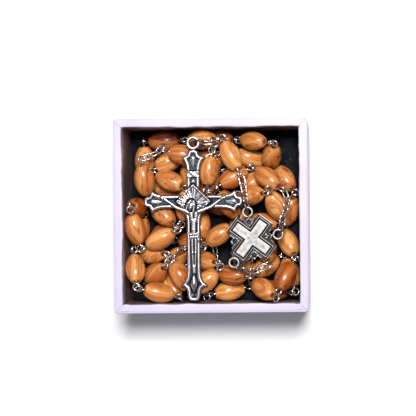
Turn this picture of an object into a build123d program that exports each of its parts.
from build123d import *
import math
import os
import numpy as np

# Presentation box with a five-decade wooden rosary, in millimetres.
# The origin is the centre of the tray's underside. X runs across the tray, Y towards the
# crucifix's ring, and Z up, out of the open tray.

# ---------------------------------------------------------------- tray
TRAY_WIDTH = 55.0
TRAY_DEPTH = 55.0
TRAY_HEIGHT = 27.0
BOARD = 1.9
PAPER = 0.24
STAY_PAPER = 0.12
STAY_LEG = 8.0
STAY_DROP = 1.0
CUT_EDGE_GAP = 0.15

# ---------------------------------------------------------------- insert
INSERT_HEIGHT = 9.5
INSERT_CLEARANCE = 0.2
VELVET = 0.6

# ---------------------------------------------------------------- beads, pins and links
BEAD_LENGTH = 8.6
BEAD_DIAMETER = 6.0
BEAD_END_DIAMETER = 2.9
BEAD_BORE = 0.7
EYE_WIRE = 0.5
STEM_WIRE = 0.5
EYE_DIAMETER = 2.0
EYE_REACH = 1.6
EYE_SEAMS = (0, 50, 100, 150, 200, 250, 300)
LINK_LENGTH = 3.8
LINK_WIDTH = 2.3
JUMP_RING_DIAMETER = 3.4
JUMP_RING_WIRE = 0.6
EYE_PLAY = 0.3

# ---------------------------------------------------------------- crucifix
CROSS_RING_PLACE = (-5.0, 20.6)
CROSS_PLANE = 1.9
CROSS_TOP = 14.9
CROSS_FOOT = 28.2
CROSS_ARM = 14.1
CROSS_RING_DROP = 16.6
CROSS_THICKNESS = 1.4
CROSS_BORDER = 0.45
CROSS_CHANNEL = 0.3
SHAFT_WIDTH = 3.8
NECK_WIDTH = 3.5
BAR_WIDTH = 3.6
FINIAL_LENGTH = 6.0
FINIAL_WIDTH = 6.6
NOSE_SHARE = 0.3
LOBE_STEP = 0.45
FILLET = 3.7
FOOT_FINIAL_WIDTH = 7.8
CROSS_RING_OUTER = 4.0
CROSS_RING_INNER = 2.1
HEAD_DIAMETER = 2.0
PLAQUE_REACH = 5.1
BOSS_DIAMETER = 2.1
BOSS_SINK = 0.45

# ---------------------------------------------------------------- centre medal
MEDAL_PLACE = (11.4, -6.6)
MEDAL_TURN = -36.6
MEDAL_SPAN = 13.9
MEDAL_ARM_WIDTH = 5.0
MEDAL_THICKNESS = 1.4
MEDAL_CORNER = 8.4
MEDAL_STEP = 1.3
MEDAL_BAR_LENGTH = 11.5
MEDAL_BAR_WIDTH = 1.7
MEDAL_RELIEF = 0.2
MEDAL_HOLE = 1.4
MEDAL_HOLE_PLACE = 3.3
MEDAL_RING_OUTER = 3.4
MEDAL_RING_WIRE = 0.8
MEDAL_RING_REACH = 5.35
MEDAL_FOOT_REACH = 8.5

# ---------------------------------------------------------------- laying the rosary in the tray
FREE_CORNER = (5.0, 10.0)
LAY_GAP = 0.12
COVER_GAP = 0.25
RIM_GAP = 0.9
LAY_STEPS = 6000
LAY_SEED = 3
BEAD_SPARE = 0.7
WIRE_SPARE = 0.3
LINK_GAP = 0.1
CLEAR_GAP = 0.08
FIT_PASSES = 28
CALM = 0.02
TOUCHING = 0.04
UNLINKED = -0.9
NEAR_SPARE = 0.9
SIZE_GAP = 0.04
SIZE_STEP = 0.02
SIZE_TRIES = 6
NEAR_MARKS = 7
FIT_TRIALS = 60
RING_SAMPLES = 30

# Heights of a bead's middle over the velvet, by layer.
LOW = 3.1
LOW_MID = 4.2
MID = 5.5
MID_HIGH = 7.0
HIGH = 8.2
HIDDEN = None

# Where each bead should lie: x, y, heading in degrees along the strand, layer, and rise in
# degrees where the bead stands up. HIDDEN beads lie under the others, wherever there is room.
DECADES = [
    [
        (14.5, 11.5, 121, HIGH), (6.5, 11, -100, LOW_MID), (5, 0, -70, MID), HIDDEN,
        (17.5, 1.5, 105, MID_HIGH), (13, 6, 175, MID), HIDDEN, (16.5, 16, 112, LOW),
        (11.5, 21, 162, HIGH), (0, 23, 172, LOW),
    ],
    [
        HIDDEN, (2, -2.5, 0, LOW), HIDDEN, (16, -14, 0, LOW), HIDDEN, (19.5, -17.5, 40, HIGH),
        (22, -8, 95, HIGH), (23, 3, 95, LOW), (21, 10, 123, LOW_MID), (11.5, 17.5, 150, LOW),
    ],
    [
        (-18.5, 9.5, -93, HIGH), (-15.5, -1.5, -45, HIGH), (-15.5, -9, -155, HIGH),
        (-21.5, -4.5, 97, MID_HIGH), (-22.5, 3, -85, MID, -55), (-22.5, -6, -95, LOW),
        (-22, -14.5, -70, MID), (-15, -22.5, -12, LOW), (-10, -18, 88, LOW),
        (-10.5, -11, 115, LOW),
    ],
    [
        HIDDEN, (-8.5, -12, -65, MID_HIGH), (1.5, -13.5, 20, HIGH), HIDDEN, (0.5, -17.5, -5, LOW),
        (9.5, -22, -22, MID), (19, -22.5, 12, LOW), (23.5, -14.5, 90, LOW),
        (19.5, -13, -150, LOW), (6.5, -17.5, 165, LOW),
    ],
    [
        (-17.5, -6, -10, LOW), (-9, -2, 95, MID_HIGH), (-11, 10.5, 128, HIGH),
        (-11.5, 17, 15, MID), (-7, 12.5, -90, LOW), (-13.5, 6.5, -180, LOW),
        (-20, 17.5, 85, MID), (-14.5, 22, -8, LOW), HIDDEN, (5, 17.5, -35, HIGH),
    ],
]
SPACERS = [
    (-2, 17.5, 0, LOW), (-6.5, 21.5, 172, MID_HIGH), (-16, -16.5, -115, MID, -45),
    (-8, -7, -180, LOW),
]
PENDANT_FIRST = (1, 12, -90, HIGH)
PENDANT_THREE = [(-0.5, -1.5, -90, MID_HIGH), (1.5, -6.5, -5, MID_HIGH), (7, -9, -40, MID)]
PENDANT_LAST = (13.5, -16, -75, MID)

# Where the links that lie on top should be: x, y and height over the velvet.
CHAIN_TO_FIRST_DECADE = [
    (20.6, -2.6, 12), (21.7, 0.8, 11.5), (21.8, 2.7, 11), (20.2, 4.3, 11), (18.1, 6.8, 11),
]
CHAIN_FROM_LAST_DECADE = [(8.3, 11.6, 11), (9, 9.6, 11.5), (9.6, 7.2, 12), (10.8, 4, 12.5)]
CHAIN_TO_THIRD_DECADE = [(-13, 20.8, 9), (-15.5, 18.8, 8.5), (-16.6, 16.8, 8.5)]
CHAIN_TO_MEDAL = [(11.3, -17.4, 10), (10.5, -15.5, 10.5), (9.5, -16.4, 11), (7.8, -15.2, 12)]
CHAIN_TO_PENDANT = [(2.2, 20.5, 11), (1.2, 19.6, 10)]
PLAIN_CHAIN = [HIDDEN, HIDDEN, HIDDEN]

# ---------------------------------------------------------------- worked out from the sizes above
WALL = PAPER + STAY_PAPER + BOARD + PAPER
FLOOR_TOP = PAPER + BOARD + PAPER
PAD_TOP = FLOOR_TOP + INSERT_HEIGHT
INNER_WIDTH = TRAY_WIDTH - 2 * WALL
INNER_DEPTH = TRAY_DEPTH - 2 * WALL
PIN_REACH = BEAD_LENGTH + 2 * EYE_REACH
METAL_HEIGHT = TRAY_HEIGHT - CROSS_PLANE
COVER_HEIGHT = METAL_HEIGHT - CROSS_THICKNESS / 2 - COVER_GAP
CROSS_PLACE = (CROSS_RING_PLACE[0], CROSS_RING_PLACE[1] - CROSS_RING_DROP)


def round_link_size(length, width, wire):
    """Middle radius of a link's round ends, and the distance between their centres."""
    radius = (width - wire) / 2
    return radius, length - width


EYE_RADIUS = EYE_DIAMETER / 2
LINK_RADIUS, LINK_STRAIGHT = round_link_size(LINK_LENGTH, LINK_WIDTH, EYE_WIRE)
JUMP_RING_RADIUS = (JUMP_RING_DIAMETER - JUMP_RING_WIRE) / 2
JUMP_RING_STRAIGHT = 0.3
CROSS_RING_RADIUS = (CROSS_RING_OUTER + CROSS_RING_INNER) / 4
CROSS_RING_WIRE = (CROSS_RING_OUTER - CROSS_RING_INNER) / 2
MEDAL_RING_RADIUS = (MEDAL_RING_OUTER - MEDAL_RING_WIRE) / 2
STEM_MARKS = [BEAD_LENGTH / 2 + share * (EYE_REACH - EYE_RADIUS) for share in (0.1, 0.5, 0.9)]


def medal_point(x, y):
    """A point of the medal's own frame in the tray's frame, at the medal's middle plane."""
    turn = math.radians(MEDAL_TURN)
    across = MEDAL_PLACE[0] + x * math.cos(turn) - y * math.sin(turn)
    along = MEDAL_PLACE[1] + x * math.sin(turn) + y * math.cos(turn)
    return np.array([across, along, METAL_HEIGHT])


def is_under_end(along, across, reach, tip, spare):
    """True where a place is within a distance of a flared end's outline, in level view."""
    nose = NOSE_SHARE * FINIAL_LENGTH
    base = reach - nose
    flare = (along > reach - FINIAL_LENGTH - spare) & (along < base) & (across < tip + spare)
    from_base = ((along - base) / (nose + spare)) ** 2 + (across / (tip - LOBE_STEP + spare)) ** 2
    return flare | ((along >= base) & (from_base < 1))


def from_medal_edge(places):
    """Level distance of each place from the medal's outline, nothing within it."""
    turn = math.radians(MEDAL_TURN)
    east, north = places[..., 0] - MEDAL_PLACE[0], places[..., 1] - MEDAL_PLACE[1]
    x = np.abs(east * math.cos(turn) + north * math.sin(turn))
    y = np.abs(north * math.cos(turn) - east * math.sin(turn))
    step = MEDAL_CORNER / 2 + MEDAL_STEP, MEDAL_CORNER / 2 - MEDAL_STEP
    arm = MEDAL_SPAN / 2, MEDAL_ARM_WIDTH / 2
    parts = [arm, arm[::-1], step, step[::-1], (MEDAL_CORNER / 2, MEDAL_CORNER / 2)]
    return np.min([
        np.hypot(np.maximum(x - across, 0), np.maximum(y - along, 0)) for across, along in parts
    ], axis=0)


# ================================================================ the strand
class Piece:
    """One rigid piece of the strand: a bead on its eye pin, a link, a ring or a fixed eye."""

    def __init__(self, kind, group, place=HIDDEN, held=None):
        self.kind = kind
        self.group = group
        self.place = place
        self.held = held
        self.name = None
        radius = {"bead": EYE_RADIUS, "link": LINK_RADIUS, "jump_ring": JUMP_RING_RADIUS}
        length = {"bead": PIN_REACH, "link": LINK_STRAIGHT, "jump_ring": JUMP_RING_STRAIGHT}
        wire = {"jump_ring": JUMP_RING_WIRE}
        self.radius = radius.get(kind, 0.0)
        self.length = length.get(kind, 0.02)
        self.wire = wire.get(kind, EYE_WIRE)


def fixed_eye(centre, radius, wire):
    """An eye of the crucifix or medal, which the strand is linked to."""
    piece = Piece("eye", "fixed", held=(np.array(centre), np.array(centre) + [0.02, 0.0, 0.0]))
    piece.radius = radius
    piece.wire = wire
    return piece


def chain(places, group, ring_first=False, ring_last=False):
    """A short chain of oval links, with a jump ring at the medal's end."""
    pieces = []
    for number, place in enumerate(places):
        is_ring = (ring_first and number == 0) or (ring_last and number == len(places) - 1)
        pieces.append(Piece("jump_ring" if is_ring else "link", group, place))
    return pieces


def loop_strand():
    """Everything from the medal's right eye round the five decades to its left eye."""
    first_eye = medal_point(MEDAL_RING_REACH, MEDAL_RING_REACH)
    last_eye = medal_point(-MEDAL_RING_REACH, MEDAL_RING_REACH)
    strand = [fixed_eye(first_eye, MEDAL_RING_RADIUS, MEDAL_RING_WIRE)]
    strand += chain(CHAIN_TO_FIRST_DECADE, "decade_chain", ring_first=True)
    for number, decade in enumerate(DECADES, 1):
        strand += [Piece("bead", f"decade_{number}", place) for place in decade]
        if number <= len(SPACERS):
            strand += chain(PLAIN_CHAIN, "decade_chain")
            strand.append(Piece("bead", "spacer", SPACERS[number - 1]))
            strand += chain(CHAIN_TO_THIRD_DECADE if number == 2 else PLAIN_CHAIN, "decade_chain")
    strand += chain(CHAIN_FROM_LAST_DECADE, "decade_chain", ring_last=True)
    strand.append(fixed_eye(last_eye, MEDAL_RING_RADIUS, MEDAL_RING_WIRE))
    return strand


def pendant_strand():
    """Everything from the crucifix's ring to the medal's foot eye."""
    ring = np.array([*CROSS_RING_PLACE, METAL_HEIGHT])
    jump_ring = Piece("jump_ring", "crucifix_ring")
    step = CROSS_RING_RADIUS + JUMP_RING_RADIUS - (CROSS_RING_WIRE + JUMP_RING_WIRE) / 2 - EYE_PLAY
    middle = ring + [step, 0.0, 0.0]
    half = np.array([JUMP_RING_STRAIGHT / 2, 0.0, 0.0])
    jump_ring.held = (middle - half, middle + half)
    link = Piece("link", "pendant_chain")
    step = JUMP_RING_RADIUS + LINK_RADIUS - (JUMP_RING_WIRE + EYE_WIRE) / 2 - EYE_PLAY
    start = middle + half + [step, 0.0, 0.0]
    link.held = (start, start + [LINK_STRAIGHT, 0.0, 0.0])
    strand = [fixed_eye(ring, CROSS_RING_RADIUS, CROSS_RING_WIRE), jump_ring, link]
    strand += chain(CHAIN_TO_PENDANT, "pendant_chain")
    strand.append(Piece("bead", "pendant", PENDANT_FIRST))
    strand += chain(PLAIN_CHAIN, "pendant_chain")
    strand += [Piece("bead", "pendant", place) for place in PENDANT_THREE]
    strand += chain(PLAIN_CHAIN, "pendant_chain")
    strand.append(Piece("bead", "pendant", PENDANT_LAST))
    strand += chain(CHAIN_TO_MEDAL, "pendant_chain", ring_last=True)
    strand.append(fixed_eye(medal_point(0, -MEDAL_FOOT_REACH), MEDAL_RING_RADIUS, MEDAL_RING_WIRE))
    return strand


def heading_vector(heading, rise):
    """Unit vector of a heading and a rise, both in degrees."""
    turn, lift = math.radians(heading), math.radians(rise)
    return np.array([math.cos(turn) * math.cos(lift), math.sin(turn) * math.cos(lift), math.sin(lift)])


class Bead_shape:
    """The barrel outline of a bead: an arc from end face to end face."""

    rise = (BEAD_DIAMETER - BEAD_END_DIAMETER) / 2
    arc = (rise**2 + (BEAD_LENGTH / 2) ** 2) / (2 * rise)
    offset = arc - BEAD_DIAMETER / 2
    stations = np.linspace(-0.366, 0.366, 7) * BEAD_LENGTH
    radii = arc - np.sqrt(offset**2 + stations**2)


class Layout:
    """The pieces of both strands, laid in the tray clear of each other and linked."""

    BALLS = 9
    NONE = -50.0

    def __init__(self, strands):
        self.pieces = [piece for strand in strands for piece in strand]
        self.count = len(self.pieces)
        self.rod = np.array([piece.length for piece in self.pieces])
        self.start = 2 * np.arange(self.count)
        self.end = self.start + 1
        self.points = np.zeros((2 * self.count, 3))
        self.free = np.ones(2 * self.count)
        self.set_targets()
        self.set_joints(strands)
        self.set_balls()
        self.first_guess(strands)

    def set_targets(self):
        """Where each placed piece should have its middle, and which way it should point."""
        self.placed = np.array([piece.place is not HIDDEN for piece in self.pieces])
        self.aimed = np.zeros(self.count, bool)
        self.middle = np.zeros((self.count, 3))
        self.aim = np.zeros((self.count, 3))
        for number, piece in enumerate(self.pieces):
            if piece.place is HIDDEN:
                continue
            if piece.kind == "bead":
                x, y, heading, layer, *rise = piece.place
                self.middle[number] = x, y, PAD_TOP + layer
                self.aim[number] = heading_vector(heading, rise[0] if rise else 0.0)
                self.aimed[number] = True
            else:
                x, y, height = piece.place
                self.middle[number] = x, y, PAD_TOP + height
        reach_x = INNER_WIDTH / 2 / 25.0
        reach_y = INNER_DEPTH / 2 / 25.0
        self.middle[:, 0] *= reach_x
        self.middle[:, 1] *= reach_y

    def set_joints(self, strands):
        """Which end is linked to which, and how far apart two linked ring centres may be."""
        joints, base = [], 0
        for strand in strands:
            for number in range(len(strand) - 1):
                a, b = strand[number], strand[number + 1]
                most = a.radius + b.radius - (a.wire + b.wire) / 2 - EYE_PLAY
                joints.append((base + number, base + number + 1, most))
            base += len(strand)
        self.joints = [(a, b) for a, b, _ in joints]
        self.joint_a = np.array([2 * a + 1 for a, b, _ in joints])
        self.joint_b = np.array([2 * b for a, b, _ in joints])
        self.joint_most = np.array([most for _, _, most in joints])
        self.joint_least = 0.6 * self.joint_most

    def set_balls(self):
        """Each piece as a row of balls along its rod, which keep pieces apart."""
        self.share = np.zeros((self.count, self.BALLS))
        self.ball = np.full((self.count, self.BALLS), self.NONE)
        self.eye_ball = np.zeros((self.count, self.BALLS), bool)
        for number, piece in enumerate(self.pieces):
            if piece.kind == "bead":
                self.share[number, :7] = 0.5 + Bead_shape.stations / PIN_REACH
                self.ball[number, :7] = Bead_shape.radii
                self.share[number, 7:] = 0.0, 1.0
                self.ball[number, 7:] = EYE_RADIUS + 0.4 * EYE_WIRE
                self.eye_ball[number, 7:] = True
            elif piece.kind == "link":
                self.share[number, :2] = 0.0, 1.0
                self.ball[number, :2] = LINK_WIDTH / 2 - 0.2
                self.eye_ball[number, :2] = True
            elif piece.kind == "jump_ring":
                self.share[number, 0] = 0.5
                self.ball[number, 0] = JUMP_RING_DIAMETER / 2 - 0.3
                self.eye_ball[number, 0] = True
        self.is_bead = np.array([piece.kind == "bead" for piece in self.pieces])
        self.is_small = self.eye_ball & ~self.is_bead[:, None]

    def first_guess(self, strands):
        """Placed beads at their places, and the rest in line between them, low in the pile."""
        base = 0
        low = PAD_TOP + LOW
        for strand in strands:
            for number, piece in enumerate(strand):
                index = base + number
                if piece.held is not None:
                    self.points[2 * index], self.points[2 * index + 1] = piece.held
                    self.free[2 * index:2 * index + 2] = 0.0
                elif piece.kind == "bead" and piece.place is not HIDDEN:
                    half = self.aim[index] * PIN_REACH / 2
                    self.points[2 * index] = self.middle[index] - half
                    self.points[2 * index + 1] = self.middle[index] + half
            number = 0
            while number < len(strand):
                if self.is_set(strand[number]):
                    number += 1
                    continue
                stop = number
                while not self.is_set(strand[stop]):
                    stop += 1
                self.fill_between(base, number, stop, low)
                number = stop
            base += len(strand)
        noise = np.random.RandomState(LAY_SEED).normal(0.0, 0.05, self.points.shape)
        self.points += noise * self.free[:, None]

    def is_set(self, piece):
        """True for a piece whose place the first guess already has."""
        return piece.held is not None or (piece.kind == "bead" and piece.place is not HIDDEN)

    def fill_between(self, base, first, stop, low):
        """Lay pieces first to stop - 1 of a strand in line between their set neighbours."""
        a = self.points[2 * (base + first - 1) + 1]
        b = self.points[2 * (base + stop)]
        lengths = self.rod[base + first:base + stop] + 1.1
        marks = np.concatenate([[0.0], np.cumsum(lengths)]) / lengths.sum()
        hides = any(self.is_bead[base + first:base + stop])
        for step, index in enumerate(range(base + first, base + stop)):
            for which, mark in ((0, marks[step]), (1, marks[step + 1])):
                point = a * (1 - mark) + b * mark
                if hides:
                    point[2] = 0.25 * point[2] + 0.75 * low
                else:
                    point[2] -= 1.5 * math.sin(math.pi * mark)
                self.points[2 * index + which] = point

    def ball_centres(self):
        """Centres of all balls, by piece."""
        a, b = self.points[self.start], self.points[self.end]
        return a[:, None] + (b - a)[:, None] * self.share[..., None]

    def near_pairs(self, margin):
        """Pairs of pieces that are close, and the least distance between each pair of balls."""
        a, b = np.triu_indices(self.count, 1)
        middle = (self.points[self.start] + self.points[self.end]) / 2
        reach = self.rod / 2 + BEAD_DIAMETER / 2
        close = np.linalg.norm(middle[a] - middle[b], axis=1) < reach[a] + reach[b] + margin
        a, b = a[close], b[close]
        centres = self.ball_centres()
        apart = np.linalg.norm(centres[a][:, :, None] - centres[b][:, None], axis=3)
        least = self.ball[a][:, :, None] + self.ball[b][:, None] + LAY_GAP
        close = (apart - least).min(axis=(1, 2)) < margin
        a, b, least = a[close], b[close], least[close]
        apart_in_strand = (b - a)[:, None, None]
        both = self.eye_ball[a][:, :, None] & self.eye_ball[b][:, None]
        one = self.eye_ball[a][:, :, None] ^ self.eye_ball[b][:, None]
        least = np.where((apart_in_strand <= 2) & both, -99.0, least)
        least = np.where((apart_in_strand == 1) & one, least - 0.2, least)
        return a, b, least

    def ceiling(self, centres, spare, near_metal=False):
        """How high a place may reach: under the crucifix and medal and round them, or the rim."""
        x = np.abs(centres[..., 0] - CROSS_PLACE[0])
        y = centres[..., 1] - CROSS_PLACE[1]
        side = SHAFT_WIDTH / 2 + spare
        covered = (x < side) & (y < CROSS_TOP + spare) & (y > -CROSS_FOOT - spare)
        covered |= is_under_end(-y, x, CROSS_FOOT, FOOT_FINIAL_WIDTH / 2, spare)
        covered |= is_under_end(y, x, CROSS_TOP, FINIAL_WIDTH / 2, spare)
        covered |= is_under_end(x, np.abs(y), CROSS_ARM, FINIAL_WIDTH / 2, spare)
        covered |= (np.abs(y) < BAR_WIDTH / 2 + spare) & (x < CROSS_ARM)
        covered |= x + np.abs(y) < PLAQUE_REACH + spare
        from_fillet = np.hypot(x - SHAFT_WIDTH / 2 - FILLET, y + BAR_WIDTH / 2 + FILLET)
        beside = (x < SHAFT_WIDTH / 2 + FILLET) & (y > -BAR_WIDTH / 2 - FILLET) & (y < 0)
        covered |= beside & (from_fillet > FILLET - spare)
        covered |= from_medal_edge(centres) < spare
        from_ring = np.hypot(
            centres[..., 0] - CROSS_RING_PLACE[0], centres[..., 1] - CROSS_RING_PLACE[1]
        )
        if near_metal:
            return np.where(covered, COVER_HEIGHT, TRAY_HEIGHT - CLEAR_GAP)
        top = np.where(covered, COVER_HEIGHT, TRAY_HEIGHT - RIM_GAP)
        swing_room = METAL_HEIGHT - CROSS_RING_OUTER / 2 - COVER_GAP
        return np.where(from_ring < CROSS_RING_OUTER / 2 + spare, swing_room, top)

    def pull_to_targets(self, strength):
        """Move placed pieces a little towards their places and headings."""
        a, b = self.points[self.start], self.points[self.end]
        unit = (b - a) / self.rod[:, None]
        shift = (self.middle - (a + b) / 2) * (strength * self.placed)[:, None]
        shift[:, 2] *= 0.3
        turn = (self.aim - unit) * (self.rod / 2 * 0.6 * strength * self.aimed)[:, None]
        self.points[self.start] += (shift - turn) * self.free[self.start][:, None]
        self.points[self.end] += (shift + turn) * self.free[self.end][:, None]

    def pull_joints(self, strength):
        """Bring linked ends together, or apart where they are too close."""
        gap = self.points[self.joint_b] - self.points[self.joint_a]
        length = np.linalg.norm(gap, axis=1)
        wanted = np.clip(length, self.joint_least, self.joint_most)
        weight = self.free[self.joint_a] + self.free[self.joint_b]
        share = strength * (length - wanted) / np.maximum(length, 1e-6) / np.maximum(weight, 1)
        move = share[:, None] * gap
        self.points[self.joint_a] += move * self.free[self.joint_a][:, None]
        self.points[self.joint_b] -= move * self.free[self.joint_b][:, None]

    def add_push(self, total, hits, index, vector, share):
        """Add a push at some points, and how many pushes each point has."""
        for axis in range(3):
            total[:, axis] += np.bincount(index, vector[:, axis], len(total))
        hits += np.bincount(index, share, len(hits))

    def push_from_bounds(self, total, hits, depth, direction):
        """Push each piece's deepest ball back along one direction."""
        worst = depth.argmax(axis=1)
        rows = np.arange(self.count)
        rows = rows[depth[rows, worst] > 0]
        if not len(rows):
            return
        worst = worst[rows]
        share = self.share[rows, worst]
        a, b = self.start[rows], self.end[rows]
        weight = (1 - share) ** 2 * self.free[a] + share**2 * self.free[b] + 1e-6
        push = depth[rows, worst] / weight
        for index, part in ((a, 1 - share), (b, share)):
            vector = (push * part * self.free[index])[:, None] * direction
            self.add_push(total, hits, index, vector, np.abs(part))

    def push_apart(self, pairs):
        """Push pieces out of each other, the walls, the pad, the cover and the free corner."""
        a, b, least = pairs
        total = np.zeros_like(self.points)
        hits = np.zeros(len(self.points))
        centres = self.ball_centres()
        gap = centres[a][:, :, None] - centres[b][:, None]
        apart = np.sqrt((gap**2).sum(axis=3))
        depth = (least - apart).reshape(len(a), -1)
        worst = depth.argmax(axis=1)
        rows = np.flatnonzero(depth[np.arange(len(a)), worst] > 0)
        if len(rows):
            ball_a, ball_b = worst[rows] // self.BALLS, worst[rows] % self.BALLS
            piece_a, piece_b = a[rows], b[rows]
            length = np.maximum(apart[rows, ball_a, ball_b], 1e-6)
            unit = gap[rows, ball_a, ball_b] / length[:, None]
            share_a, share_b = self.share[piece_a, ball_a], self.share[piece_b, ball_b]
            ends = (
                (self.start[piece_a], 1 - share_a, 1), (self.end[piece_a], share_a, 1),
                (self.start[piece_b], 1 - share_b, -1), (self.end[piece_b], share_b, -1),
            )
            weight = sum(part**2 * self.free[index] for index, part, _ in ends) + 1e-6
            push = (depth[rows, worst[rows]] / weight)[:, None] * unit
            for index, part, sign in ends:
                vector = sign * (part * self.free[index])[:, None] * push
                self.add_push(total, hits, index, vector, np.abs(part))
        for axis, half in ((0, INNER_WIDTH / 2), (1, INNER_DEPTH / 2)):
            for sign in (1, -1):
                direction = np.zeros(3)
                direction[axis] = -sign
                depth = sign * centres[..., axis] + self.ball - (half - LAY_GAP)
                self.push_from_bounds(total, hits, depth, direction)
        depth = PAD_TOP + LAY_GAP - (centres[..., 2] - self.ball)
        self.push_from_bounds(total, hits, depth, np.array([0.0, 0.0, 1.0]))
        depth = centres[..., 2] + self.ball - self.ceiling(centres, BEAD_SPARE)
        depth = np.where(self.is_small, -1.0, depth)
        self.push_from_bounds(total, hits, depth, np.array([0.0, 0.0, -1.0]))
        in_x = centres[..., 0] + self.ball - (INNER_WIDTH / 2 - FREE_CORNER[0])
        in_y = centres[..., 1] + self.ball - (INNER_DEPTH / 2 - FREE_CORNER[1])
        inside = (in_x > 0) & (in_y > 0)
        depth = np.where(inside & (in_x <= in_y), in_x, -1.0)
        self.push_from_bounds(total, hits, depth, np.array([-1.0, 0.0, 0.0]))
        depth = np.where(inside & (in_y < in_x), in_y, -1.0)
        self.push_from_bounds(total, hits, depth, np.array([0.0, -1.0, 0.0]))
        self.points += 1.3 * total / np.maximum(hits, 1)[:, None]

    def keep_lengths(self):
        """Give every rod its own length again."""
        gap = self.points[self.end] - self.points[self.start]
        length = np.linalg.norm(gap, axis=1)
        weight = self.free[self.start] + self.free[self.end]
        share = (length - self.rod) / np.maximum(length, 1e-9) / np.maximum(weight, 1)
        move = share[:, None] * gap
        self.points[self.start] += move * self.free[self.start][:, None]
        self.points[self.end] -= move * self.free[self.end][:, None]

    def settle(self):
        """Let the pile settle: towards the places at first, then only clear and linked."""
        for step in range(LAY_STEPS):
            done = step / LAY_STEPS
            if step % 10 == 0:
                pairs = self.near_pairs(0.6)
            if done < 0.35:
                self.pull_to_targets(0.3 * (1 - done / 0.4) ** 2 + 0.01)
            elif 0.5 < done < 0.84:
                self.pull_to_targets(0.01)
            self.pull_joints(1.0 if done < 0.3 else 0.8)
            self.push_apart(pairs)
            self.keep_lengths()
            self.points = np.round(self.points, 7)

    def report(self):
        """Print how deep any two balls still are in each other, and the widest joint."""
        a, b, least = self.near_pairs(0.0)
        centres = self.ball_centres()
        apart = np.linalg.norm(centres[a][:, :, None] - centres[b][:, None], axis=3)
        depth = (least - LAY_GAP - apart).max(initial=-LAY_GAP)
        gap = np.linalg.norm(self.points[self.joint_b] - self.points[self.joint_a], axis=1)
        middle = (self.points[self.start] + self.points[self.end]) / 2
        off = np.linalg.norm((middle - self.middle)[self.aimed][:, :2], axis=1)
        print(f"pile: overlap {depth:.3f}, joint over {(gap - self.joint_most).max():.3f}")
        print(f"pile: beads are {off.mean():.2f} from their places, at most {off.max():.2f}")


# ================================================================ fitting the wires
OUTLINES = {}


def turned(frame, vector):
    """A frame's columns turned by a rotation vector."""
    angle = np.linalg.norm(vector)
    if angle < 1e-9:
        return frame
    x, y, z = vector / angle
    cross = np.array([[0, -z, y], [z, 0, -x], [-y, x, 0]])
    return (np.eye(3) + math.sin(angle) * cross + (1 - math.cos(angle)) * cross @ cross) @ frame


def frame_along(axis):
    """Three unit columns: an axis and two more square to it and to each other."""
    helper = np.array([0.0, 0.0, 1.0]) if abs(axis[2]) < 0.8 else np.array([1.0, 0.0, 0.0])
    second = np.cross(axis, helper)
    second /= np.linalg.norm(second)
    return np.column_stack([axis, second, np.cross(axis, second)])


def loop_outline(radius, straight):
    """Points round a ring, or round an oval with straight sides, in its own plane."""
    turn = np.linspace(0.0, 2 * math.pi, RING_SAMPLES, endpoint=False) + 0.05
    x, y = radius * np.cos(turn), radius * np.sin(turn)
    outline = np.column_stack([x + np.sign(x) * straight / 2, y])
    if straight < radius / 2:
        return outline
    side = np.linspace(-straight / 2, straight / 2, 6)[1:-1]
    upper = np.column_stack([side[::-1], np.full(4, radius)])
    lower = np.column_stack([side, np.full(4, -radius)])
    quarter = int(np.sum(turn < math.pi / 2))
    last = int(np.sum(turn < 1.5 * math.pi))
    return np.vstack([outline[:quarter], upper, outline[quarter:last], lower, outline[last:]])


class Loop:
    """A closed loop of wire at one end of a piece: a ring, or an oval round two centres."""

    def __init__(self, middle, axis, side, radius, straight, wire):
        self.middle = middle
        self.axis = axis
        self.side = side
        self.radius = radius
        self.straight = straight
        self.wire = wire
        outline = OUTLINES.setdefault((radius, straight), loop_outline(radius, straight))
        self.points = middle + outline[:, :1] * axis + outline[:, 1:] * side

    def normal(self):
        """The direction square to the loop's plane."""
        return np.cross(self.axis, self.side)

    def holds(self, other):
        """True where another loop passes once through this one."""
        ring = other.points
        height = (ring - self.middle) @ self.normal()
        beyond = np.roll(height, -1)
        through = height * beyond < 0
        here, there = ring[through], np.roll(ring, -1, axis=0)[through]
        part = (height[through] / (height[through] - beyond[through]))[:, None]
        place = here + (there - here) * part - self.middle
        along = place @ self.axis
        along -= np.clip(along, -self.straight / 2, self.straight / 2)
        return np.sum(np.hypot(along, place @ self.side) < self.radius) == 1


def least_distance(points, others):
    """The least distance between two sets of points."""
    square = (points**2).sum(axis=1)[:, None] + (others**2).sum(axis=1) - 2 * points @ others.T
    return math.sqrt(max(square.min(), 0.0))


class Pose:
    """Where a piece is: its middle, its frame and the turns of its two eyes about its axis."""

    def __init__(self, middle, frame, turns):
        self.middle = middle
        self.frame = frame
        self.turns = turns

    def moved(self, shift, turn, twist):
        """The pose after a small move."""
        return Pose(self.middle + shift, turned(self.frame, turn), self.turns + twist)


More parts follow.
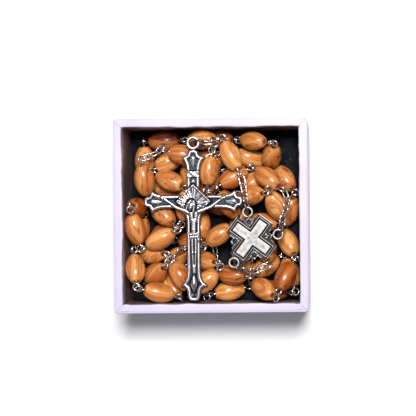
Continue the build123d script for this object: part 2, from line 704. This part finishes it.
class Fit:
    """The settled pieces, nudged until each pair of linked wires passes clear."""

    def __init__(self, layout):
        self.layout = layout
        self.pieces = layout.pieces
        self.random = np.random.RandomState(LAY_SEED)
        self.poses = [self.first_pose(number) for number in range(layout.count)]
        self.shapes = [self.shape(number, pose) for number, pose in enumerate(self.poses)]
        self.girth = np.array([
            BEAD_DIAMETER / 2 if piece.kind == "bead" else piece.radius + piece.wire / 2
            for piece in self.pieces
        ])
        self.marks = np.zeros((layout.count, NEAR_MARKS, 3))
        for number in range(layout.count):
            self.mark(number)
        self.joined = {number: [] for number in range(layout.count)}
        for a, b in layout.joints:
            self.joined[a].append((b, "far", "near"))
            self.joined[b].append((a, "near", "far"))

    def first_pose(self, number):
        """A piece's pose as the pile left it."""
        a, b = self.layout.points[2 * number], self.layout.points[2 * number + 1]
        axis = (b - a) / np.linalg.norm(b - a)
        frame = frame_along(axis)
        if self.pieces[number].kind == "eye":
            return Pose(a, np.column_stack([[1.0, 0, 0], [0, 1.0, 0], [0, 0, 1.0]]), np.zeros(2))
        return Pose((a + b) / 2, frame, np.array([0.0, math.pi / 2]))

    def shape(self, number, pose):
        """A piece's loops, all its wire points, and its bead's balls where it has a bead."""
        piece = self.pieces[number]
        axis = pose.frame[:, 0]
        sides = [math.cos(turn) * pose.frame[:, 1] + math.sin(turn) * pose.frame[:, 2]
                 for turn in pose.turns]
        if piece.kind != "bead":
            straight = LINK_STRAIGHT if piece.kind == "link" else 0.0
            loop = Loop(pose.middle, axis, sides[0], piece.radius, straight, piece.wire)
            return {"near": loop, "far": loop, "wire": loop.points, "balls": None, "pose": pose}
        half = axis * piece.length / 2
        near = Loop(pose.middle - half, axis, sides[0], piece.radius, 0.0, piece.wire)
        far = Loop(pose.middle + half, axis, sides[1], piece.radius, 0.0, piece.wire)
        stems = np.array([pose.middle + side * axis * reach for side in (-1, 1) for reach in STEM_MARKS])
        balls = pose.middle + Bead_shape.stations[:, None] * axis
        wire = np.vstack([near.points, far.points, stems])
        return {"near": near, "far": far, "wire": wire, "balls": balls, "pose": pose}

    def bead_room(self, points, pose):
        """Least distance from points to a bead's surface, less than nothing inside it."""
        axis = pose.frame[:, 0]
        along = (points - pose.middle) @ axis
        square = ((points - pose.middle) ** 2).sum(axis=1) - along**2
        across = np.sqrt(np.maximum(square, 0.0))
        side = np.hypot(across + Bead_shape.offset, along) - Bead_shape.arc
        past_end = np.abs(along) - BEAD_LENGTH / 2
        end = np.hypot(np.maximum(across - BEAD_END_DIAMETER / 2, 0.0), np.maximum(past_end, 0.0))
        return np.where(past_end > 0, end, side).min()

    def joint_gap(self, loop, other):
        """Clear space between two linked wires, or less than -1 where they aren't linked."""
        gap = least_distance(loop.points, other.points) - (loop.wire + other.wire) / 2
        if loop.holds(other):
            return gap
        return min(gap, 0.0) - 1.0 - 0.3 * np.linalg.norm(loop.middle - other.middle)

    def bound_cost(self, number, shape):
        """How far a piece reaches into the tray, the insert, the metal above or the free corner."""
        piece = self.pieces[number]
        if piece.held is not None:
            return 0.0
        near_metal = any(self.pieces[other].held is not None for other, _, _ in self.joined[number])
        parts = [(shape["wire"], np.full(len(shape["wire"]), piece.wire / 2), WIRE_SPARE)]
        if shape["balls"] is not None:
            parts.append((shape["balls"], Bead_shape.radii, BEAD_SPARE))
        total = 0.0
        for points, radii, spare in parts:
            x, y, z = points[:, 0], points[:, 1], points[:, 2]
            depths = [
                np.abs(x) + radii - INNER_WIDTH / 2 + CLEAR_GAP,
                np.abs(y) + radii - INNER_DEPTH / 2 + CLEAR_GAP,
                PAD_TOP + CLEAR_GAP + radii - z,
            ]
            depths.append(z + radii - self.layout.ceiling(points, spare, near_metal))
            depths.append(np.minimum(
                x + radii - INNER_WIDTH / 2 + FREE_CORNER[0],
                y + radii - INNER_DEPTH / 2 + FREE_CORNER[1],
            ))
            total += sum(max(depth.max(), 0.0) for depth in depths)
        return total

    def cost(self, number, shape, near):
        """How far a piece is from passing clear of everything, nothing when it does."""
        piece = self.pieces[number]
        total = self.bound_cost(number, shape)
        for other, mine, theirs in self.joined[number]:
            gap = self.joint_gap(shape[mine], self.shapes[other][theirs])
            total += 3 * max(LINK_GAP - gap, 0.0)
        for other in near:
            rest = self.shapes[other]
            if not self.is_joined(number, other):
                gap = least_distance(shape["wire"], rest["wire"])
                gap -= (piece.wire + self.pieces[other].wire) / 2
                total += max(CLEAR_GAP - gap, 0.0)
            if rest["balls"] is not None:
                room = self.bead_room(shape["wire"], rest["pose"]) - piece.wire / 2
                total += max(CLEAR_GAP - room, 0.0)
            if shape["balls"] is not None:
                room = self.bead_room(rest["wire"], shape["pose"]) - self.pieces[other].wire / 2
                total += max(CLEAR_GAP - room, 0.0)
            if shape["balls"] is not None and rest["balls"] is not None:
                gap = shape["balls"][:, None] - rest["balls"]
                apart = np.sqrt((gap**2).sum(axis=2)) - Bead_shape.radii[:, None] - Bead_shape.radii
                total += max(LAY_GAP - apart.min(), 0.0)
        return total

    def is_joined(self, number, other):
        """True for two pieces that are linked to each other."""
        return any(other == linked for linked, _, _ in self.joined[number])

    def near_to(self, number):
        """The pieces close enough to a piece to matter."""
        gaps = self.marks[:, :, None] - self.marks[number][None, None]
        apart = np.sqrt((gaps**2).sum(axis=-1)).min(axis=(1, 2))
        close = np.flatnonzero(apart < self.girth + self.girth[number] + NEAR_SPARE)
        return [other for other in close if other != number]

    def mark(self, number):
        """Keep sample points along a piece's axis, for finding the pieces near it."""
        pose, half = self.poses[number], self.pieces[number].length / 2
        share = np.linspace(-half, half, NEAR_MARKS)
        self.marks[number] = pose.middle + share[:, None] * pose.frame[:, 0]

    def moved_at_random(self, number, size, only_twist):
        """A piece's pose after a small random move, or after only a turn of its eyes."""
        is_bead = self.pieces[number].kind == "bead"
        reach = size * 10 ** self.random.uniform(-1.0, 0.0)
        shift = self.random.normal(0.0, 0.12 * reach, 3)
        turn = self.random.normal(0.0, (0.02 if is_bead else 0.15) * reach, 3)
        twist = self.random.normal(0.0, 0.6 * reach, 2)
        if only_twist:
            shift, turn = 0 * shift, 0 * turn
            twist = self.random.uniform(0.0, math.pi, 2) * (self.random.uniform(size=2) < 0.5)
        return self.poses[number].moved(shift, turn, twist)

    def nudge(self, numbers, size):
        """Try small moves of one or more pieces, and keep each that brings their cost down."""
        near = [self.near_to(number) for number in numbers]
        now = sum(self.cost(number, self.shapes[number], others) for number, others in zip(numbers, near))
        if now < CALM:
            return
        for trial in range(FIT_TRIALS):
            kept = [(self.poses[number], self.shapes[number]) for number in numbers]
            for number in numbers:
                self.poses[number] = self.moved_at_random(number, size, trial % 4 == 0)
                self.shapes[number] = self.shape(number, self.poses[number])
            cost = sum(self.cost(number, self.shapes[number], others) for number, others in zip(numbers, near))
            if cost < now - 1e-9:
                now = cost
            else:
                for number, (pose, shape) in zip(numbers, kept):
                    self.poses[number], self.shapes[number] = pose, shape
            if now < CALM:
                break
        for number in numbers:
            self.mark(number)

    def settle(self):
        """Nudge every piece that isn't clear, over and over."""
        for step in range(FIT_PASSES):
            size = 1.5 if step < FIT_PASSES / 2 else 0.8
            for number, piece in enumerate(self.pieces):
                if piece.held is None:
                    self.nudge([number], size)
                elif piece.kind != "eye":
                    self.turn_held(number)
            for a, b in self.layout.joints:
                gap = self.joint_gap(self.shapes[a]["far"], self.shapes[b]["near"])
                loose = [number for number in (a, b) if self.pieces[number].held is None]
                if gap < TOUCHING and step > 2:
                    self.nudge(loose, 2.5 if gap < UNLINKED else 1.0)

    def turn_held(self, number):
        """Turn a held ring or link about its axis to where it is clearest."""
        near = self.near_to(number)
        now = self.cost(number, self.shapes[number], near)
        start = self.poses[number]
        for step in range(12):
            pose = start.moved(0.0, start.frame[:, 0] * math.pi * step / 12, 0.0)
            shape = self.shape(number, pose)
            cost = self.cost(number, shape, near)
            if cost < now - 1e-9:
                now = cost
                self.poses[number], self.shapes[number] = pose, shape
        return now

    def shortage(self, number, other=None):
        """How far a bead reaches past its clear room: beside another piece, or in the tray."""
        shape = self.shapes[number]
        balls = shape["balls"]
        if other is None:
            x, y, z = balls[:, 0], balls[:, 1], balls[:, 2]
            near_metal = any(self.pieces[linked].held is not None for linked, _, _ in self.joined[number])
            reaches = [
                np.abs(x) - INNER_WIDTH / 2, np.abs(y) - INNER_DEPTH / 2, PAD_TOP - z,
                z - self.layout.ceiling(balls, BEAD_SPARE, near_metal),
            ]
            return max((reach + Bead_shape.radii).max() for reach in reaches) + SIZE_GAP
        rest = self.shapes[other]
        room = self.bead_room(rest["wire"], shape["pose"]) - self.pieces[other].wire / 2
        short = SIZE_GAP - room
        if rest["balls"] is not None:
            gap = balls[:, None] - rest["balls"]
            apart = np.sqrt((gap**2).sum(axis=2)) - Bead_shape.radii[:, None] - Bead_shape.radii
            short = max(short, (SIZE_GAP - apart.min()) / 2)
        return short

    def bead_scale(self, number):
        """A bead's size beside the usual one: hand-turned beads vary, and tight places get small ones."""
        shorts = [self.shortage(number)]
        shorts += [self.shortage(number, other) for other in self.near_to(number)]
        return 1.0 - max(max(shorts), 0.0) / (BEAD_DIAMETER / 2)

    def report(self):
        """Print how many joints are linked, and the joints and pieces that aren't clear."""
        gaps = {joint: self.joint_gap(self.shapes[joint[0]]["far"], self.shapes[joint[1]]["near"])
                for joint in self.layout.joints}
        linked = sum(gap > -0.9 for gap in gaps.values())
        print(f"wires: {linked} of {len(gaps)} joints linked, least gap {min(gaps.values()):.3f}")
        print("wires: touching", {joint: round(gap, 2) for joint, gap in gaps.items() if gap < 0.03})
        costs = {number: self.cost(number, shape, self.near_to(number))
                 for number, shape in enumerate(self.shapes) if self.pieces[number].kind != "eye"}
        print("wires: not clear", {number: round(cost, 2) for number, cost in costs.items() if cost > 0.1})


# ================================================================ solids of the strand
def plane_along(centre, axis):
    """A plane whose Z is an axis."""
    return Plane(origin=Vector(*centre), z_dir=Vector(*axis))


def bead_template(scale):
    """A bead with its bore, standing on Z about the origin, at a scale of the usual size."""
    bore = BEAD_BORE / 2
    end, middle, half = (scale * size / 2 for size in (BEAD_END_DIAMETER, BEAD_DIAMETER, BEAD_LENGTH))
    outline = Wire([
        Edge.make_line((bore, 0, -half), (end, 0, -half)),
        Edge.make_three_point_arc((end, 0, -half), (middle, 0, 0), (end, 0, half)),
        Edge.make_line((end, 0, half), (bore, 0, half)),
        Edge.make_line((bore, 0, half), (bore, 0, -half)),
    ])
    return revolve(Face(outline), Axis.Z, 360)


def ring_solid(loop, seam=0.0):
    """A closed round ring of wire, its seam turned by some degrees."""
    ring = Rot(0, 0, seam) * Torus(loop.radius, loop.wire / 2)
    return plane_along(loop.middle, loop.normal()).location * ring


def eye_pin(near, far):
    """A straight pin with an eye at each end, in one solid."""
    start = near.middle + near.axis * near.radius
    stop = far.middle - far.axis * far.radius
    stem = Cylinder(STEM_WIRE / 2, np.linalg.norm(stop - start))
    pin = plane_along((start + stop) / 2, near.axis).location * stem
    for eye in (near, far):
        for seam in EYE_SEAMS:
            joined = pin + ring_solid(eye, seam)
            if len(joined.solids()) == 1:
                break
        pin = joined
    return pin


def oval_link(loop):
    """A link with round ends and straight sides, in the plane of its loop."""
    plane = Plane(
        origin=Vector(*loop.middle), x_dir=Vector(*loop.axis), z_dir=Vector(*loop.normal())
    )
    half, radius = loop.straight / 2, loop.radius
    path = Wire([
        Edge.make_line((-half, radius, 0), (half, radius, 0)),
        Edge.make_three_point_arc((half, radius, 0), (half + radius, 0, 0), (half, -radius, 0)),
        Edge.make_line((half, -radius, 0), (-half, -radius, 0)),
        Edge.make_three_point_arc((-half, -radius, 0), (-half - radius, 0, 0), (-half, radius, 0)),
    ])
    section = Plane(origin=(0, radius, 0), z_dir=(1, 0, 0)) * Circle(loop.wire / 2)
    return plane.location * sweep(section, path=path)


# ================================================================ tray and insert
def block(low, high):
    """A box between two opposite corners."""
    size = [abs(b - a) for a, b in zip(low, high)]
    return Pos(*[(a + b) / 2 for a, b in zip(low, high)]) * Box(*size)


def side_prism(half_outside, half_inside, low, high):
    """One mitred side of a square frame, at the front, from z = low to z = high."""
    outside_x, outside_y = half_outside
    inside_x, inside_y = half_inside
    outline = Polyline(
        (-outside_x, -outside_y), (outside_x, -outside_y), (inside_x, -inside_y),
        (-inside_x, -inside_y), close=True,
    )
    return Pos(0, 0, low) * slab(make_face(outline), high - low)


def wrap_sides():
    """The white paper round the four walls: outside, over the rim and down the inside."""
    shapes = []
    outside = (TRAY_WIDTH / 2, TRAY_DEPTH / 2)
    inside = (INNER_WIDTH / 2, INNER_DEPTH / 2)
    board_out = PAPER + STAY_PAPER
    core_out = (outside[0] - board_out, outside[1] - board_out)
    core_in = (inside[0] + PAPER, inside[1] + PAPER)
    for turned in range(4):
        pick = (lambda pair: pair) if turned % 2 == 0 else (lambda pair: (pair[1], pair[0]))
        whole = side_prism(pick(outside), pick(inside), 0, TRAY_HEIGHT)
        hollow = side_prism(pick(core_out), pick(core_in), 0, TRAY_HEIGHT - PAPER)
        below = side_prism(pick(core_in), pick(inside), 0, FLOOR_TOP)
        side = Rot(0, 0, 90 * turned) * (whole - hollow - below)
        for stay in corner_stays():
            side = side - stay
        shapes.append(side)
    return shapes


def wrap_paper():
    """The wrap's four sides and its base sheet, each a sheet of its own."""
    edge_x = TRAY_WIDTH / 2 - PAPER - CUT_EDGE_GAP
    edge_y = TRAY_DEPTH / 2 - PAPER - CUT_EDGE_GAP
    base = block((-edge_x, -edge_y, 0), (edge_x, edge_y, PAPER))
    lining_x = INNER_WIDTH / 2 - CUT_EDGE_GAP
    lining_y = INNER_DEPTH / 2 - CUT_EDGE_GAP
    lining = block((-lining_x, -lining_y, PAPER + BOARD), (lining_x, lining_y, FLOOR_TOP))
    return [base, lining] + wrap_sides()


def wall_boards():
    """The four wall boards: front and back across the whole width, the sides between them."""
    out_x = TRAY_WIDTH / 2 - PAPER - STAY_PAPER
    out_y = TRAY_DEPTH / 2 - PAPER - STAY_PAPER
    low, high = PAPER, TRAY_HEIGHT - PAPER
    return {
        "front_wall_board": block((-out_x, -out_y, low), (out_x, BOARD - out_y, high)),
        "back_wall_board": block((-out_x, out_y - BOARD, low), (out_x, out_y, high)),
        "left_wall_board": block((-out_x, BOARD - out_y, low), (BOARD - out_x, out_y - BOARD, high)),
        "right_wall_board": block((out_x - BOARD, BOARD - out_y, low), (out_x, out_y - BOARD, high)),
    }


def bottom_board():
    """The bottom board, inside the four walls."""
    half_x = TRAY_WIDTH / 2 - PAPER - STAY_PAPER - BOARD
    half_y = TRAY_DEPTH / 2 - PAPER - STAY_PAPER - BOARD
    return block((-half_x, -half_y, PAPER), (half_x, half_y, PAPER + BOARD))


def corner_stays():
    """The paper stays round the outside of the four corners, under the wrap."""
    out_x, out_y = TRAY_WIDTH / 2 - PAPER, TRAY_DEPTH / 2 - PAPER
    low, high = PAPER, TRAY_HEIGHT - PAPER - STAY_DROP
    in_x, in_y = out_x - STAY_PAPER, out_y - STAY_PAPER
    stays = []
    for x, y in ((-1, -1), (1, -1), (1, 1), (-1, 1)):
        across = block(
            (x * (out_x - STAY_LEG), y * in_y, low), (x * out_x, y * out_y, high)
        )
        along = block(
            (x * in_x, y * (out_y - STAY_LEG), low), (x * out_x, y * out_y, high)
        )
        stays.append(across + along)
    return stays


def insert_pieces():
    """The foam block and the velvet glued over its top and down its sides."""
    half_x = INNER_WIDTH / 2 - INSERT_CLEARANCE
    half_y = INNER_DEPTH / 2 - INSERT_CLEARANCE
    whole = block((-half_x, -half_y, FLOOR_TOP), (half_x, half_y, PAD_TOP))
    foam = block(
        (VELVET - half_x, VELVET - half_y, FLOOR_TOP),
        (half_x - VELVET, half_y - VELVET, PAD_TOP - VELVET),
    )
    return foam, whole - foam


def slab(face, thickness):
    """A flat outline made solid upwards from z = 0."""
    return extrude(face, thickness, dir=(0, 0, 1))


# ================================================================ crucifix
def half_finial(neck, tip, reach):
    """Half of a flared cross end on +X, from its neck along +Y to its point."""
    start = reach - FINIAL_LENGTH - 1.5
    tip_at = reach - 0.42 * FINIAL_LENGTH
    lobe = tip - LOBE_STEP
    lines = [
        Edge.make_line((0, start, 0), (neck, start, 0)),
        Edge.make_three_point_arc(
            (neck, start, 0), (neck + 0.3 * (tip - neck), start + 0.68 * (tip_at - start), 0),
            (tip, tip_at, 0),
        ),
        Edge.make_line((tip, tip_at, 0), (lobe, tip_at + 0.7, 0)),
        Edge.make_three_point_arc(
            (lobe, tip_at + 0.7, 0), (0.62 * lobe, tip_at + 0.72 * (reach - tip_at), 0), (0, reach, 0),
        ),
        Edge.make_line((0, reach, 0), (0, start, 0)),
    ]
    return Face(Wire(lines))


def finial(neck, tip, reach, turn):
    """A whole flared cross end, turned to its side of the cross."""
    half = half_finial(neck, tip, reach)
    return Rot(0, 0, turn) * (half + mirror(half, Plane.YZ))


def fillet_corners(inset):
    """The filled inner corners between the shaft and the arms, below the bar."""
    lap = 0.3
    size = FILLET + inset + lap
    middle_x, middle_y = SHAFT_WIDTH / 2 + FILLET, -BAR_WIDTH / 2 - FILLET
    round_edge = Pos(middle_x, middle_y) * Circle(FILLET + inset)
    corner = Pos(middle_x - size / 2, middle_y + size / 2) * Rectangle(size, size) - round_edge
    return corner + mirror(corner, Plane.YZ)


def cross_outline(inset):
    """The cross's outline, drawn in by an inset all round."""
    shaft = SHAFT_WIDTH / 2 - inset
    bar = BAR_WIDTH / 2 - inset
    neck = NECK_WIDTH / 2 - inset
    tip = FINIAL_WIDTH / 2 - inset
    foot_tip = FOOT_FINIAL_WIDTH / 2 - inset
    upper = CROSS_TOP - FINIAL_LENGTH
    face = Pos(0, (upper - CROSS_FOOT + FINIAL_LENGTH) / 2) * Rectangle(
        2 * shaft, upper + CROSS_FOOT - FINIAL_LENGTH
    )
    face = face + Rectangle(2 * (CROSS_ARM - FINIAL_LENGTH), 2 * bar)
    face = face + fillet_corners(inset)
    face = face + finial(neck + 0.2, tip, CROSS_TOP - inset, 0)
    face = face + finial(bar, tip, CROSS_ARM - inset, 90)
    face = face + finial(bar, tip, CROSS_ARM - inset, -90)
    return face + finial(shaft, foot_tip, CROSS_FOOT - inset, 180)


def limb(start, stop, thick, thin):
    """A tapering limb between two points, thick at the start."""
    start, stop = Vector(*start), Vector(*stop)
    step = stop - start
    middle = (start + stop) * 0.5
    plane = Plane(origin=middle, z_dir=step)
    return plane.location * Cone(thick / 2, thin / 2, step.length)


def ball(place, size):
    """A ball by its centre and diameter."""
    return Pos(*place) * Sphere(size / 2)


def corpus(face):
    """The figure on the cross in plain relief, standing on the cross's front face."""
    low = face - 0.15
    head_high = face + 0.1
    figure = ball((-0.5, -0.6, head_high), HEAD_DIAMETER)
    figure += limb((0, -2.2, low), (0.1, -8.2, low), 3.0, 2.0)
    figure += ball((0, -2.6, low), 2.6)
    figure += limb((-0.9, -2.6, low), (-8.2, 0.7, low), 1.3, 0.9)
    figure += limb((0.9, -2.6, low), (8.4, 0.8, low), 1.3, 0.9)
    figure += ball((-8.3, 0.75, low), 1.3)
    figure += ball((8.5, 0.85, low), 1.3)
    figure += limb((0.1, -7.6, low), (0.1, -11.4, low), 2.6, 2.9)
    figure += limb((-0.5, -10.8, low), (-0.25, -19.2, low), 1.8, 0.95)
    figure += limb((0.6, -10.8, low), (0.45, -19.2, low), 1.8, 0.95)
    figure += ball((0.1, -19.4, low), 1.5)
    keep = block((-15, -25, 0), (15, 5, TRAY_HEIGHT - METAL_HEIGHT - 0.1))
    return figure & keep


def plaque(face):
    """The diamond of rays behind the figure."""
    reach = PLAQUE_REACH
    outline = Polyline((reach, 0), (0, reach), (-reach, 0), (0, -0.8 * reach), close=True)
    return Pos(0, 0, face - 0.4) * slab(make_face(outline), 0.65)


def crucifix():
    """The crucifix in one casting, its crossing at the origin and its middle plane at z = 0."""
    face = CROSS_THICKNESS / 2
    body = Pos(0, 0, -face) * slab(cross_outline(0), CROSS_THICKNESS)
    floor = face - CROSS_CHANNEL
    body -= Pos(0, 0, floor) * slab(cross_outline(CROSS_BORDER), 2 * CROSS_CHANNEL)
    boss_reach = 0.35 * FINIAL_LENGTH
    room = Pos(0, 0, face) * Box(2 * CROSS_FOOT, 2 * CROSS_FOOT, 2 * face)
    for x, y in (
        (0, CROSS_TOP - boss_reach), (CROSS_ARM - boss_reach, 0), (boss_reach - CROSS_ARM, 0),
        (0, boss_reach + 1.2 - CROSS_FOOT),
    ):
        body += ball((x, y, floor - BOSS_SINK), BOSS_DIAMETER) & room
    body += plaque(face)
    body += corpus(face)
    ring = Pos(0, CROSS_RING_DROP, 0) * Torus(CROSS_RING_RADIUS, CROSS_RING_WIRE / 2)
    return body + ring


# ================================================================ centre medal
def medal():
    """The square-armed cross medal in one casting, its middle at the origin."""
    half = MEDAL_THICKNESS / 2
    plate = Rectangle(MEDAL_SPAN, MEDAL_ARM_WIDTH) + Rectangle(MEDAL_ARM_WIDTH, MEDAL_SPAN)
    plate = plate + Rectangle(MEDAL_CORNER, MEDAL_CORNER)
    plate = plate + Rectangle(MEDAL_CORNER + 2 * MEDAL_STEP, MEDAL_CORNER - 2 * MEDAL_STEP)
    plate = plate + Rectangle(MEDAL_CORNER - 2 * MEDAL_STEP, MEDAL_CORNER + 2 * MEDAL_STEP)
    body = Pos(0, 0, -half) * slab(plate, MEDAL_THICKNESS)
    bars = Rectangle(MEDAL_BAR_LENGTH, MEDAL_BAR_WIDTH) + Rectangle(MEDAL_BAR_WIDTH, MEDAL_BAR_LENGTH)
    body += Pos(0, 0, half - 0.1) * slab(bars, MEDAL_RELIEF + 0.1)
    for x, y in ((-1, 1), (-1, -1), (1, -1)):
        place = Pos(x * MEDAL_HOLE_PLACE, y * MEDAL_HOLE_PLACE, 0)
        body -= place * Cylinder(MEDAL_HOLE / 2, 3 * MEDAL_THICKNESS)
    neck = MEDAL_RING_RADIUS - MEDAL_RING_WIRE / 2
    for x, y in ((MEDAL_RING_REACH, MEDAL_RING_REACH), (-MEDAL_RING_REACH, MEDAL_RING_REACH)):
        body += Pos(x, y, 0) * Torus(MEDAL_RING_RADIUS, MEDAL_RING_WIRE / 2)
        corner = MEDAL_CORNER / 2
        inner = math.copysign(corner - 0.4, x)
        outer = x - math.copysign(neck * 0.55 + 0.35, x)
        body += limb((inner, corner - 0.4, 0), (outer, y - neck * 0.55 - 0.35, 0), 0.9, 0.7)
    body += Pos(0, -MEDAL_FOOT_REACH, 0) * Torus(MEDAL_RING_RADIUS, MEDAL_RING_WIRE / 2)
    return body


def place_crucifix(shape):
    """The crucifix where it lies in the box."""
    return Pos(*CROSS_PLACE, METAL_HEIGHT) * shape


def place_medal(shape):
    """The medal where it lies in the box."""
    return Pos(*MEDAL_PLACE, METAL_HEIGHT) * (Rot(0, 0, MEDAL_TURN) * shape)


# ================================================================ building the nodes
def bead_node(piece, number):
    """The node of a bead: its own where it is planned in the upper layers, or its group's."""
    if piece.place is not HIDDEN and piece.place[3] >= MID:
        return f"{piece.group}_bead_{number}"
    return f"{piece.group}_lower_beads"


def clear_bead(middle, axis, scale, metals):
    """A bead in its place, made smaller where it would touch the crucifix or the medal."""
    for step in range(SIZE_TRIES):
        bead = plane_along(middle, axis).location * bead_template(scale)
        if middle[2] < METAL_HEIGHT - BEAD_DIAMETER:
            break
        if min(bead.distance_to(metal) for metal in metals) > SIZE_GAP:
            break
        scale -= SIZE_STEP
    return bead


def strand_nodes(fit, metals):
    """Every bead, pin, link and ring of the rosary, by node."""
    nodes, counts = {}, {}
    for place, (piece, shape, pose) in enumerate(zip(fit.pieces, fit.shapes, fit.poses)):
        near, far = shape["near"], shape["far"]
        if piece.kind == "bead":
            counts[piece.group] = counts.get(piece.group, 0) + 1
            bead = clear_bead(pose.middle, near.axis, fit.bead_scale(place), metals)
            nodes.setdefault(bead_node(piece, counts[piece.group]), []).append(bead)
            nodes.setdefault(f"{piece.group}_eye_pins", []).append(eye_pin(near, far))
        elif piece.kind == "link":
            nodes.setdefault(f"{piece.group}_links", []).append(oval_link(near))
        elif piece.kind == "jump_ring":
            name = "crucifix_jump_ring" if piece.group == "crucifix_ring" else "medal_jump_rings"
            nodes.setdefault(name, []).append(ring_solid(near))
    return nodes


def all_nodes():
    """Every node of the part, as lists of solids."""
    foam, velvet = insert_pieces()
    nodes = {"bottom_board": [bottom_board()], "corner_stays": corner_stays()}
    nodes.update({name: [board] for name, board in wall_boards().items()})
    nodes["wrap_paper"] = wrap_paper()
    nodes["foam_block"] = [foam]
    nodes["velvet_cover"] = [velvet]
    metals = [place_crucifix(crucifix()), place_medal(medal())]
    nodes["crucifix"], nodes["centre_medal"] = [metals[0]], [metals[1]]
    layout = Layout([loop_strand(), pendant_strand()])
    layout.settle()
    layout.report()
    fit = Fit(layout)
    fit.settle()
    fit.report()
    nodes.update(strand_nodes(fit, metals))
    return nodes


def main():
    """Write one STEP file per node."""
    os.makedirs("parts", exist_ok=True)
    for name, shapes in all_nodes().items():
        solids = [solid for shape in shapes for solid in shape.solids()]
        shape = solids[0] if len(solids) == 1 else Compound(solids)
        export_step(shape, f"parts/{name}.step")


main()
